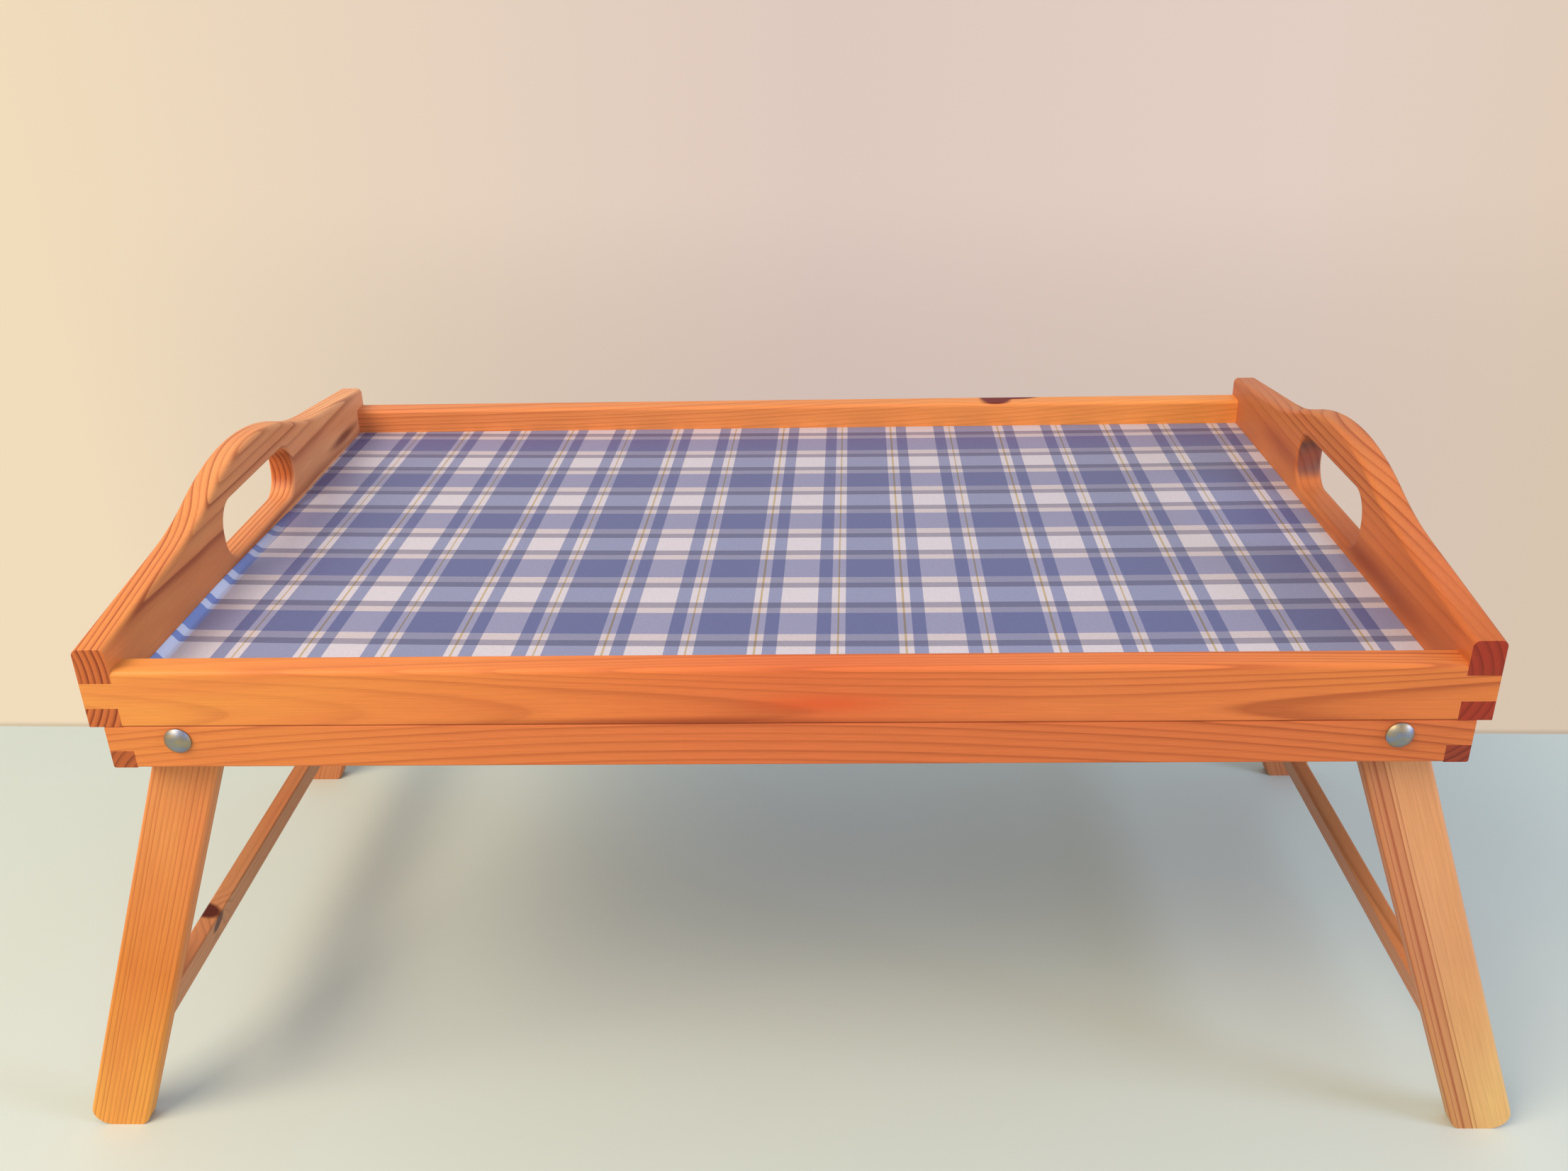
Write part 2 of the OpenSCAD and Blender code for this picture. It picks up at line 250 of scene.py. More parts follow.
# Painted shade: low on the wall and behind the table, the tone is darker.
painted_shade_behind = ramp(tree, across, [(0, 1.0), (0.12, 0.94), (0.3, 0.86), (0.8, 0.87), (1, 0.93)])
low = remap(tree, away, (1.2, 2.9), (painted_shade_behind, 1.0), "SMOOTHSTEP")
tone = scaled(tree, tone, low)
past_foot = vector_calc(tree, "DOT_PRODUCT", point(tree), (foot_skew / reach, 1, 0))
past_foot = calc(tree, "SUBTRACT", past_foot, foot_y)
# Painted shadow line along the wall's foot.
line = remap(tree, past_foot, (1 * MM, 7 * MM), (0.76, 1.0), "SMOOTHSTEP")
tone = scaled(tree, tone, line)
plain = add(tree, "Emission", {}, {"Color": tone, "Strength": 1.0})
surface = add(tree, "MixShader", {}, {"Fac": seen, 1: shaded, 2: plain})
add(tree, "OutputMaterial", {}, {"Surface": surface}, give=None)
dress(backdrop, material)
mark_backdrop(floor, backdrop)

# %% [markdown]
# ## The light
# Soft daylight fills the room: bluish from above, warm and weaker from the walls. A camera
# or a mirror that looks past the floor sees one plain pale tone instead. The main light is
# warm and comes from a large window in front of the table's left end, high up, so the
# rails' top edges and the left side are brightest. A weak blue light from the right, as
# from a patch of sky, cools the faces that look that way and glints on the bolts.

# %% Lamps
scene.world = bpy.data.worlds.new("room")
scene.world.use_nodes = True
scene.world.node_tree.nodes.clear()
tree = scene.world.node_tree
upwards = coordinate(tree, add(tree, "TexCoord", {}, {}, give="Generated"), "Z")
hue = ramp(tree, upwards, [(0.1, "#eee0cc"), (0.5, "#dde8f8")])
upwards = remap(tree, upwards, (-0.1, 0.9), (0.33, 0.94))
sky = add(tree, "Background", {}, {"Color": hue, "Strength": upwards})
plain = add(tree, "Background", {}, {"Color": linear("#e0d2c6"), "Strength": 1.0})
surface = add(tree, "MixShader", {}, {"Fac": looks_on(tree), 1: sky, 2: plain})
add(tree, "OutputWorld", {}, {"Surface": surface}, give=None)


def lamp(name, place, target, size, watts, colour):
    """A soft oblong lamp that looks at a point."""
    light = bpy.data.lights.new(name, "AREA")
    light.shape, light.size, light.size_y = "RECTANGLE", size[0], size[1]
    light.energy, light.color = watts, linear(colour)[:3]
    holder = bpy.data.objects.new(name, light)
    scene.collection.objects.link(holder)
    holder.location = place
    holder.rotation_euler = (Vector(target) - Vector(place)).to_track_quat("-Z", "Y").to_euler()
    return holder


window = lamp("window", (-1.0, -0.95, 1.45), (0, 0, 0.2), (1.2, 0.9), 32, "#ffe9cd")
patch_of_sky = lamp("patch_of_sky", (1.5, -0.6, 0.7), (0, 0, 0.2), (0.5, 0.5), 13, "#c4d2ff")
print("lamps:", window.name, patch_of_sky.name)

# %% [markdown]
# ## Softened edges
# A sawn and sanded board has no knife edges. The CAD solids have their large roundings
# already, and a Bevel takes 0.15 mm or less off every edge that is still sharp. That is
# what draws the thin lines of the box joints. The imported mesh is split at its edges, so a
# Weld joins it first, and weighted normals keep the flat faces flat.

# %% Helper for softened edges
def soften(name, width):
    """Takes a small width, in millimetres, off the sharp edges of a CAD node."""
    weld = nodes[name].modifiers.new("joined", "WELD")
    weld.merge_threshold = 0.002 * MM
    bevel = nodes[name].modifiers.new("softened", "BEVEL")
    bevel.width = width * MM
    bevel.segments = 2
    bevel.limit_method = "ANGLE"
    bevel.angle_limit = math.radians(50)
    nodes[name].modifiers.new("flat_faces", "WEIGHTED_NORMAL")


# %% [markdown]
# ## Pine
# The frame is pine, sawn into thin boards, sanded and given an orange satin lacquer. What
# the eye reads as grain is one thing seen from many sides: the tree's growth rings. A ring
# is pale wood from spring and a thin dark line from late summer, wrapped round the pith.
# So the material keeps the tree, not the surface: it measures how far each point of a board
# lies from the pith, and colours it by its ring. Faces then show arches and lines, and the
# ends show arcs, all from the same rings.
#
# Three more short forms are needed from here on: a cloudy noise, a mix of two colours and
# a relief.

# %% Short forms for patterns
def noise_at(tree, place, size, detail):
    """A cloudy noise from 0 to 1, with lumps of about this size."""
    return add(tree, "TexNoise", {}, {"Vector": place, "Scale": 1 / size, "Detail": detail})


def mix(tree, share, first, second):
    """A colour between two others."""
    return add(tree, "Mix", {"data_type": "RGBA"}, {0: share, 6: first, 7: second}, give=2)


def relief(tree, height, strength, depth):
    """Bumps that follow a height, with their depth in millimetres."""
    return add(tree, "Bump", {}, {
        "Height": height, "Strength": strength, "Distance": depth * MM})


# %% [markdown]
# A board's own directions are along the grain, across its width and through its thickness.

# %% Step 1: measure along, across and through a board
def board_place(tree, board):
    """A point's place in a board's own directions, in millimetres from its middle."""
    here = vector_calc(tree, "SUBTRACT", point(tree), board["middle"])
    here = scaled(tree, here, 1 / MM)
    parts = [vector_calc(tree, "DOT_PRODUCT", here, board[axis])
             for axis in ("grain", "rise", "deep")]
    return add(tree, "CombineXYZ", {}, dict(enumerate(parts)))


# %% [markdown]
# A tree doesn't grow quite straight. A slow noise, long along the grain and only 26 mm across
# it, moves each point by a millimetre or less, so the lines wander.

# %% Step 2: let the grain wander
def wander(tree, place, board):
    """The place, moved by a slow noise drawn out along the grain."""
    stretch = (1 / board["wave"], 1 / 26, 1 / 26)
    drawn = vector_calc(tree, "MULTIPLY_ADD", place, stretch, (board["seed"], 0, 0))
    noise = add(tree, "TexNoise", {}, {"Vector": drawn, "Scale": 1, "Detail": 2,
                                       "Roughness": 0.45}, give="Color")
    noise = vector_calc(tree, "SUBTRACT", noise, (0.5,) * 3)
    across, through = board["wander"]
    return vector_calc(tree, "MULTIPLY_ADD", noise, (0, 2 * across, 2 * through), place)


# %% [markdown]
# The pith runs beside the board on a shallow curve. Where it bends away from a face, the
# rings close into pointed arches there.

# %% Step 3: distance from the pith
def from_pith(tree, place, board):
    """How far a point is from the tree's bent middle line, in millimetres."""
    along, across, through = (coordinate(tree, place, i) for i in range(3))
    away = calc(tree, "SUBTRACT", along, board["bend_at"])
    square = calc(tree, "MULTIPLY", away, away)
    arms = []
    for part, start, bend in zip((across, through), board["pith"], board["bend"]):
        line = calc(tree, "MULTIPLY_ADD", square, bend, start)
        arms.append(calc(tree, "SUBTRACT", part, line))
    arms = add(tree, "CombineXYZ", {}, dict(enumerate(arms)))
    return vector_calc(tree, "LENGTH", arms)


# %% [markdown]
# A knot is a branch that grew out from the pith, or in another direction if "towards" says
# so: (0, 1) is through the board and (1, 0) is across it. The rings swing round it by
# "swing" times its "size", and the branch itself is hard and dark. "long" stretches it along
# the grain, "soft" is where its rim starts to fade, and "depth" is how dark it is. A streak
# of resin is drawn the same way, long and soft-edged, but the rings don't swing round it.
# Where "above" is given, only wood higher up in the board than that is dark, and a little
# higher still towards the branch's rim.

# %% Step 4: knots
def branch(tree, place, board, knot):
    """How far the rings are pushed by a branch, and how deep in its dark wood a point is."""
    at = Vector(knot["at"])
    away = (at.y - board["pith"][0], at.z - board["pith"][1])
    out = Vector((0, *knot.get("towards", away))).normalized()
    side = (0, out.z, -out.y)
    off = vector_calc(tree, "SUBTRACT", place, at)
    across = vector_calc(tree, "DOT_PRODUCT", off, side)
    along = coordinate(tree, off, "X")
    along = calc(tree, "DIVIDE", along, knot["long"])
    off = add(tree, "CombineXYZ", {}, {0: along, 1: across})
    off = vector_calc(tree, "LENGTH", off)
    size = knot["size"]
    near = remap(tree, off, (0, 4 * size), (1, 0), "SMOOTHERSTEP")
    push = calc(tree, "MULTIPLY", near, size * knot.get("swing", 1.6))
    rim = (size * knot.get("soft", 0.7), size * 1.15)
    heart = remap(tree, off, rim, (knot.get("depth", 1), 0), "SMOOTHSTEP")
    if "above" in knot:
        height = coordinate(tree, place, "Y")
        height = calc(tree, "MULTIPLY_ADD", off, -0.1, height)
        limit = (knot["above"] - 0.4, knot["above"] + 0.4)
        over = remap(tree, height, limit, (0, 1), "SMOOTHSTEP")
        heart = calc(tree, "MULTIPLY", heart, over)
    return push, heart


# %% [markdown]
# One ring is about two to three millimetres: pale at first, darker and darker, and then it
# stops short where the winter was. No two years are alike, so each ring has its own depth of
# tone, and a slow noise makes some wider than others. An old tree grows slowly, so the rings
# can be tighter beyond some distance from the pith.

# %% Step 5: rings
def rings(tree, distance, board):
    """How much dark late wood there is at a point, from 0 to 1."""
    years = calc(tree, "MULTIPLY_ADD", distance, 1 / board["ring"], board["phase"])
    start, tighter = board["tight"]
    beyond = calc(tree, "SUBTRACT", distance, start)
    beyond = calc(tree, "MAXIMUM", beyond, 0)
    years = calc(tree, "MULTIPLY_ADD", beyond, 1 / tighter - 1 / board["ring"], years)
    uneven = add(tree, "TexNoise", {"noise_dimensions": "1D"}, {
        "W": years, "Scale": 0.45, "Detail": 1})
    uneven = calc(tree, "SUBTRACT", uneven, 0.5)
    years = calc(tree, "MULTIPLY_ADD", uneven, board["uneven"], years)
    year = calc(tree, "FLOOR", years)
    season = calc(tree, "FRACT", years)
    late = ramp(tree, season, board["season"])
    depth = add(tree, "TexWhiteNoise", {"noise_dimensions": "1D"}, {"W": year})
    depth = remap(tree, depth, (0, 1), (0.5, 1.0))
    return calc(tree, "MULTIPLY", late, depth)


# %% [markdown]
# Under the lacquer the wood still has fibres, as fine as a hair and centimetres long. They
# are drawn at 0.4 mm, as fine as still shows. Across the cut ends they stand open and drink
# more of the stain, so the ends go dark. The cut ends inside a hand slot lie further in,
# more than 20 mm from the board's end, and can be given another tone there: painted shade
# with a painted bluish reflection of the sheet. Broad warm patches follow the sap.

# %% Step 6: colour
def pine_colour(tree, place, late, board):
    """The colour of the wood, and the fine fibres for its relief."""
    drawn = vector_calc(tree, "MULTIPLY", place, (1 / 18, 1 / 0.42, 1 / 0.42))
    fibre = add(tree, "TexNoise", {}, {"Vector": drawn, "Scale": 1, "Detail": 3,
                                       "Roughness": 0.6})
    along = coordinate(tree, place, "X")
    share = remap(tree, along, (-board["half"], board["half"]))
    pale = ramp(tree, share, board["pale"])
    stretch = (1 / 70, 1 / 14, 1 / 14)
    patch = vector_calc(tree, "MULTIPLY_ADD", place, stretch, (0, board["seed"], 0))
    patch = noise_at(tree, patch, 1, 2)
    patch = remap(tree, patch, (0.3, 0.75), (0, 0.5))
    pale = mix(tree, patch, pale, linear(board["warm"]))
    long_grain = mix(tree, late, pale, linear(board["late"]))
    open_late = calc(tree, "POWER", late, 0.6)
    from_middle = calc(tree, "ABSOLUTE", along)
    at_end = remap(tree, from_middle, (board["half"] - 20, board["half"] - 14))
    # Cut ends far inside a hand slot take the slot tone, which can be painted shade with a
    # painted bluish reflection of the sheet.
    spring = mix(tree, at_end, linear(board["slot"]), linear(board["end"][0]))
    end_grain = mix(tree, open_late, spring, linear(board["end"][1]))
    facing = add(tree, "TexCoord", {}, {}, give="Normal")
    facing = vector_calc(tree, "DOT_PRODUCT", facing, board["grain"])
    facing = calc(tree, "ABSOLUTE", facing)
    facing = remap(tree, facing, (0.55, 0.95), (0, 1), "SMOOTHSTEP")
    colour = mix(tree, facing, long_grain, end_grain)
    light = remap(tree, fibre, (0.25, 0.75), (0.9, 1.08))
    return scaled(tree, colour, light), fibre


# %% [markdown]
# Late wood is harder than spring wood, so sanding leaves it a few hundredths of a
# millimetre proud. The satin lacquer follows that and lays a thin, barely glossy coat over
# it. Where two boards are glued, a faint brown line, less than two millimetres wide, is
# drawn along the seam, in the little groove between their rounded edges.

# %% Step 7: the whole material
def pine(name, board):
    """Lacquered pine for one board."""
    material, tree = new_material(name)
    place = board_place(tree, board)
    moved = wander(tree, place, board)
    distance = from_pith(tree, moved, board)
    hearts = []
    for knot in board["knots"]:
        push, heart = branch(tree, moved, board, knot)
        distance = calc(tree, "ADD", distance, push)
        hearts.append(heart)
    late = rings(tree, distance, board)
    if board["quiet"]:
        start, stop, least = board["quiet"]
        across = coordinate(tree, moved, "Y")
        keep = remap(tree, across, (start, stop), (1, least), "SMOOTHSTEP")
        late = calc(tree, "MULTIPLY", late, keep)
    along = coordinate(tree, place, "X")
    strong = remap(tree, along, (-board["half"], board["half"]), board["contrast"])
    late = calc(tree, "MULTIPLY", late, strong)
    colour, fibre = pine_colour(tree, place, late, board)
    for glued in board["glued"]:
        # A faint brown line is drawn along each glued seam.
        line = coordinate(tree, place, "Y")
        line = calc(tree, "SUBTRACT", line, glued)
        line = calc(tree, "ABSOLUTE", line)
        line = remap(tree, line, (0.1, 0.9), (0.3, 0), "SMOOTHSTEP")
        colour = mix(tree, line, colour, linear("#8f4520"))
    for heart, knot in zip(hearts, board["knots"]):
        colour = mix(tree, heart, colour, linear(knot["colour"]))
    height = calc(tree, "MULTIPLY_ADD", late, 0.7, fibre)
    surface_of(tree, {
        "Base Color": colour, "Roughness": 0.5, "IOR": 1.5, "Specular IOR Level": 0.2,
        "Coat Weight": 0.06, "Coat Roughness": 0.28,
        "Normal": relief(tree, height, 0.5, 0.06)})
    return material


# %% [markdown]
# ## The boards
# Each board was cut from its own place in a tree, and the list says where, in millimetres:
# - "pith" is where the pith ran beside it, across and through. It bends away from there by
#   "bend" times the square of the distance along the grain from "bend_at".
# - "ring" is how wide a ring is, and "phase" slides the rings. "tight" is a distance from
#   the pith and the width of the rings beyond it. "uneven" is how much the widths differ.
# - "wander" is how far the grain strays across and through the board, "wave" is how long
#   its waves are, and "seed" picks another noise.
# - "season" is the tone from one winter to the next, from spring wood 0 to late wood 1.
# - "pale" is the spring wood's colour from end to end, "warm" its patches, "late" the late
#   wood, "end" both colours of the cut ends, and "slot" the tone on the cut ends inside a
#   hand slot, which on the right handle end is painted shade with a painted bluish
#   reflection of the sheet.
# - "contrast" is how strong the lines are at either end. "quiet" is where across the board
#   they weaken, from one place to another, and how much is left of them.
# - "glued" lists the heights of its seams, and "edge" is how much its edges are softened.
#
# What changes from end to end does so over the board's length, or over 200 mm where the
# board measures less than that.

# %% What the boards have in common
X, Y, Z = Vector((1, 0, 0)), Vector((0, 1, 0)), Vector((0, 0, 1))
shortest = 0.2
usual = {
    "pith": (-8, -22), "bend_at": 0, "bend": (0, 1.2e-4), "ring": 3.0, "phase": 0,
    "tight": (1000, 1), "wave": 90, "wander": (0.8, 0.5), "uneven": 0.9, "seed": 0,
    "season": [(0, 0.25), (0.1, 0.02), (0.45, 0.08), (0.7, 0.34), (0.86, 0.9), (0.95, 1),
               (1, 0.25)],
    "pale": [(0, "#e28a4b"), (1, "#e08648")], "warm": "#d87240", "late": "#a8522a",
    "end": ("#b9602f", "#7c3519"), "knots": [], "quiet": None, "contrast": (0.85, 0.85),
    "glued": [], "edge": 0.12,
}


def board(name, grain, rise, **own):
    """Dresses one CAD board in pine cut its own way."""
    low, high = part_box(name)
    span = high - low
    made = {**usual, **own, "grain": grain, "rise": rise, "deep": grain.cross(rise),
            "middle": (low + high) / 2}
    made["half"] = max(abs(span.dot(grain)), shortest) / 2 / MM
    made.setdefault("slot", made["end"][0])
    soften(name, made["edge"])
    dress(nodes[name], pine("pine_" + name, made))
    print(name, "half length", round(made["half"], 1), "mm")


# %% [markdown]
# The tray's four boards are the ones that show most. The front rail was cut just beside the
# pith's bend, so three arches point along it, and it has a long dark streak and a red spot.
# The back rail has a dark knot in its top edge, which runs out into a tail to the right.
# The left handle end has its pith outside and low, and its end shows four rings. The right
# one is darker and its rings cross the grip slantwise. Two soft dark bands low on its inner
# face are painted shade, and the cut ends in its hand slot carry painted shade and a painted
# bluish reflection of the sheet.

# %% Tray boards
board("tray_front_rail", X, Z, pith=(-6, -15.6), bend_at=85, bend=(0, 1.21e-4), seed=1,
      tight=(21, 1.35), wander=(0.8, 0.12), uneven=0.15, contrast=(0.2, 0.9), glued=[-11.2],
      edge=0.04,
      pale=[(0, "#e99b47"), (0.3, "#e18441"), (0.52, "#d86c39"), (0.7, "#dd7d42"),
            (1, "#da7f3b")],
      knots=[{"at": (-35, -10.6, 6), "size": 2.6, "long": 44, "colour": "#943d1d", "swing": 0,
              "soft": 0, "depth": 0.8},
             {"at": (16, -3, 6), "size": 5, "long": 7, "colour": "#d84a1e", "swing": 0,
              "soft": 0, "depth": 0.5}])
board("tray_back_rail", X, Z, pith=(-32, 14), bend_at=-300, bend=(0.9e-4, 0), seed=4,
      wave=60, wander=(1.0, 0.6), ring=2.2, contrast=(0.6, 0.2), glued=[-11.2],
      pale=[(0, "#df8650"), (0.6, "#e8924f"), (1, "#faa352")], warm="#e28848",
      knots=[{"at": (109, 12.3, 0), "size": 1.9, "long": 5, "towards": (0, 1),
              "colour": "#6a1416"},
             {"at": (110, 11, -6), "size": 10.2, "long": 0.85, "towards": (1, 0),
              "colour": "#6a1416", "swing": 0, "soft": 0.9, "above": 9.3},
             {"at": (117, 11, -6), "size": 5, "long": 3.2, "towards": (1, 0),
              "colour": "#6a1416", "swing": 0, "soft": 0.85, "above": 9.8}])
board("left_handle_end", Y, Z, pith=(-7, -38), bend_at=20, bend=(0, 0.4e-4), seed=7,
      ring=2.5, uneven=0.3, contrast=(1, 0.6),
      pale=[(0, "#df8c45"), (0.4, "#e6985a"), (1, "#f8b27a")], late="#984522",
      end=("#cf7038", "#762b14"),
      knots=[{"at": (116, -11.5, 6), "size": 3.4, "long": 8, "colour": "#6e2c1c", "swing": 0,
              "soft": 0.2, "depth": 0.8}])
board("right_handle_end", Y, Z, pith=(-14, -24), bend_at=-60, bend=(1.2e-4, 0), seed=9,
      ring=3.4, quiet=(14, 6, 0.35), uneven=0.6, contrast=(0.95, 0.9),
      pale=[(0, "#bd632d"), (0.35, "#d17a3f"), (0.6, "#ca7e45"), (1, "#c0744b")],
      # The slot tone here is painted shade with a painted bluish reflection of the sheet.
      late="#9c451d", end=("#a33620", "#561609"), slot="#80584c",
      # These two soft dark bands low on the inner face are painted shade.
      knots=[{"at": (-60, -12, -6), "size": 9, "long": 12, "colour": "#8c3f22", "swing": 0,
              "soft": 0, "depth": 0.88},
             {"at": (60, -4, -6), "size": 7, "long": 8, "colour": "#a04d30", "swing": 0,
              "soft": 0, "depth": 0.6}])

# %% [markdown]
# The lower frame's rails carry the pivots. The cross rails show little more than their ends.

# %% Lower frame
board("lower_front_rail", X, Z, pith=(-34, -9), bend_at=-20, bend=(-2.4e-4, 0), seed=12,
      ring=3.2, wander=(0.7, 0.3), contrast=(0.55, 0.95), glued=[8.6], edge=0.04,
      pale=[(0, "#e38d44"), (0.5, "#d36f3d"), (1, "#d0723a")])
board("lower_back_rail", X, Z, pith=(-26, 12), seed=15, glued=[8.6])
board("lower_left_cross_rail", Y, Z, pith=(-20, 14), seed=17, end=("#b85f30", "#7d3a1c"))
board("lower_right_cross_rail", Y, Z, pith=(16, -18), seed=19, end=("#983f27", "#642415"))

# %% [markdown]
# The legs lean out by the splay of 20 degrees, and so does their grain. The right front leg
# has its close dark rings along one edge only, with a soft rust-red streak over them, and
# the rest of it is pale spring wood. The back legs have a duller pale tone, which is painted
# shade, and the left stretcher has a knot near its front end.

# %% Legs and stretchers
straight = {"bend": (0, 0), "wander": (0.6, 0.6), "wave": 120}
# The back legs' duller pale tone is painted shade.
back_leg_with_painted_shade = {"ring": 2.2, "contrast": (0.6, 0.6), "pale": [(0, "#d68f58"), (1, "#cc8a5c")]}
stretcher = {"pith": (14, 16), "ring": 3.2, "pale": [(0, "#c98a58"), (1, "#cf8c57")],
             "late": "#9a5a30"}
wood = {
    "leg_front_left": {
        "pith": (60, 30), "ring": 1.7, "seed": 36, "contrast": (0.65, 0.65),
        "pale": [(0, "#e9a064"), (0.6, "#dc8634"), (1, "#f6b04e")]},
    "leg_front_right": {
        "pith": (-70, 24), "ring": 2.1, "seed": 46, "contrast": (1, 1),
        "quiet": (-5, -2, 0.1), "late": "#93401f", "warm": "#d8975f",
        "pale": [(0, "#e5a06e"), (0.6, "#de9f6c"), (1, "#eabe77")],
        "knots": [{"at": (0, -9.5, 0), "size": 4.6, "long": 60, "towards": (0, 1),
                   "colour": "#b4623f", "swing": 0, "depth": 0.45}]},
    "leg_back_left": {**back_leg_with_painted_shade, "pith": (50, -30), "seed": 49},
    "leg_back_right": {**back_leg_with_painted_shade, "pith": (-50, -30), "seed": 51},
    "left_stretcher": {
        **stretcher, "seed": 39, "contrast": (0.55, 0.55),
        "knots": [{"at": (-88, -3, 6), "size": 4.5, "long": 1.2, "colour": "#5a2418"}]},
    "right_stretcher": {**stretcher, "seed": 41, "contrast": (0.85, 0.85)},
}
splay = math.radians(20)
for side, left_right in ((-1, "left"), (1, "right")):
    down = Vector((side * math.sin(splay), 0, -math.cos(splay)))
    out = Vector((side * math.cos(splay), 0, math.sin(splay)))
    for name in (f"leg_front_{left_right}", f"leg_back_{left_right}"):
        board(name, down, out, **straight, **wood[name])
    name = left_right + "_stretcher"
    board(name, Y, out, **wood[name])

# %% [markdown]
# ## The check sheet: its print
# The panel is covered by a printed and varnished paper check. Blue bands run both ways with
# pale lines between them. The print is two sets of stripes laid over each other like thin
# inks, so the colours multiply and are darkest where blue crosses blue.

# %% Stripes
def stripes(tree, along, period, start, bands):
    """A repeating row of stripes: bands are (width in mm, hex colour), in order."""
    where = calc(tree, "MULTIPLY_ADD", along, 1 / (period * MM), -start / period)
    where = calc(tree, "FRACT", where)
    stops, at = [], 0
    total = sum(width for width, _ in bands)
    for width, colour in bands:
        stops.append((at / total, colour))
        at += width
    tones = ramp(tree, where, stops)
    tones.node.color_ramp.interpolation = "CONSTANT"
    return tones


# %% [markdown]
# The sheet was laid by hand. It is turned about one degree, and its rows bow by a few
# millimetres over the tray's length. Near the left handle end it was pulled over, so its
# columns there shift by up to 3 mm.

# %% Where a point is on the print
check_paper, tree = new_material("varnished_check_paper")
here = point(tree)
across, deep = (coordinate(tree, here, i) for i in range(2))
pull_zone = (sheet_low.x + 3.9 * MM, sheet_low.x + 15.9 * MM)
pulled = remap(tree, across, pull_zone, (3 * MM, 0))
on_columns = calc(tree, "ADD", across, pulled)
on_columns = calc(tree, "MULTIPLY_ADD", deep, -0.0213, on_columns)
bow = calc(tree, "MULTIPLY", across, across)
bow = calc(tree, "MULTIPLY_ADD", bow, -0.075, deep)
on_rows = calc(tree, "MULTIPLY_ADD", across, 0.0143, bow)

# %% [markdown]
# The columns repeat every 57.5 mm and the rows every 52.2 mm. An ochre thread less than a
# millimetre wide runs down the middle of each narrow white column. Where the left edge curls
# up, in its front part, the outer five millimetres are painted brighter and bluer: a painted
# highlight of the light from the right on the curl. Elsewhere a half-glossy varnish lies
# over the ink and dulls it a little. The varnish has a faint ripple, about 3 mm long, that
# breaks up what it mirrors, and flecks of about a millimetre keep the ink uneven.

# %% The print's colours
white, blue, ochre = "#ffffff", "#a9b6d8", "#e5d4a4"
columns = stripes(tree, on_columns, 57.5, 0.0, [
    (14.7, white), (5.6, blue), (2.4, white), (0.8, ochre), (2.4, white), (20.4, blue),
    (2.4, white), (0.8, ochre), (2.4, white), (5.6, blue)])
dusk, cream, grey = "#afb6d6", "#f6f0ec", "#b9b9c6"
rows = stripes(tree, on_rows, 52.2, 1.0, [
    (18.2, dusk), (4.7, cream), (4.9, grey), (14.0, white), (4.8, grey), (5.5, cream)])
ink = add(tree, "Mix", {"data_type": "RGBA", "blend_type": "MULTIPLY"}, {
    0: 1, 6: columns, 7: rows}, give=2)
varnish = linear("#c8c1c6")
ink = add(tree, "Mix", {"data_type": "RGBA", "blend_type": "MULTIPLY"}, {
    0: 1, 6: ink, 7: varnish}, give=2)
fleck = noise_at(tree, here, 1.1 * MM, 2)
fleck = remap(tree, fleck, (0.3, 0.7), (0.95, 1.05))
ink = scaled(tree, ink, fleck)
# Painted highlight: the front part of the curled left edge is painted brighter and bluer.
highlight_zone = (sheet_low.x + 4.2 * MM, sheet_low.x + 5.2 * MM)
painted_highlight = remap(tree, across, highlight_zone, (0.9, 0), "SMOOTHSTEP")
curl_starts, curl_full = 0.03, -0.06
curled = remap(tree, deep, (curl_starts, curl_full))
painted_highlight = calc(tree, "MULTIPLY", painted_highlight, curled)
bright = ramp(tree, rows, [(0.5, "#7a91ca"), (0.9, "#d3dbee")])
ink = mix(tree, painted_highlight, ink, bright)
ripple = noise_at(tree, here, 3 * MM, 1)
surface_of(tree, {
    "Base Color": ink, "Roughness": 0.45, "IOR": 1.5, "Specular IOR Level": 0.3,
    "Coat Weight": 0.15, "Coat Roughness": 0.3, "Normal": relief(tree, ripple, 0.3, 0.05)})

# %% [markdown]
# ## The check sheet: its shape
# The sheet lies flat on the panel, but along the left handle end it was cut a little too
# wide, and its front part curls up the board by 2.8 mm within the last three millimetres.
# So it is a fine grid of its own, closer at that edge, with the curl written as a height
# over each point.

# %% Sheet
curl_height, curl_width = 2.8, 3.0


def curl(x, y):
    """How far the sheet stands up at a point, in metres."""
    in_from_edge = (x - sheet_low.x) / MM
    towards_front = min(max((curl_starts - y) / (curl_starts - curl_full), 0), 1)
    rise = max(0, 1 - in_from_edge / curl_width)
    return curl_height * MM * rise * rise * (3 - 2 * rise) * towards_front ** 0.7


edge_steps = [0, 0.4, 0.8, 1.2, 1.6, 2.0, 2.5, 3.1, 4.0]
x_steps, y_steps = 60, 48
xs = [sheet_low.x + step * MM for step in edge_steps]
xs += [xs[-1] + (sheet_high.x - xs[-1]) * i / x_steps for i in range(1, x_steps + 1)]
ys = [sheet_low.y + (sheet_high.y - sheet_low.y) * i / y_steps for i in range(y_steps + 1)]
mesh = bmesh.new()
top = [[mesh.verts.new((x, y, sheet_high.z + curl(x, y))) for y in ys] for x in xs]
under = [[mesh.verts.new((x, y, sheet_low.z + curl(x, y))) for y in ys] for x in xs]
for i in range(len(xs) - 1):
    for j in range(len(ys) - 1):
        mesh.faces.new((top[i][j], top[i + 1][j], top[i + 1][j + 1], top[i][j + 1]))
        mesh.faces.new((under[i][j], under[i][j + 1], under[i + 1][j + 1], under[i + 1][j]))
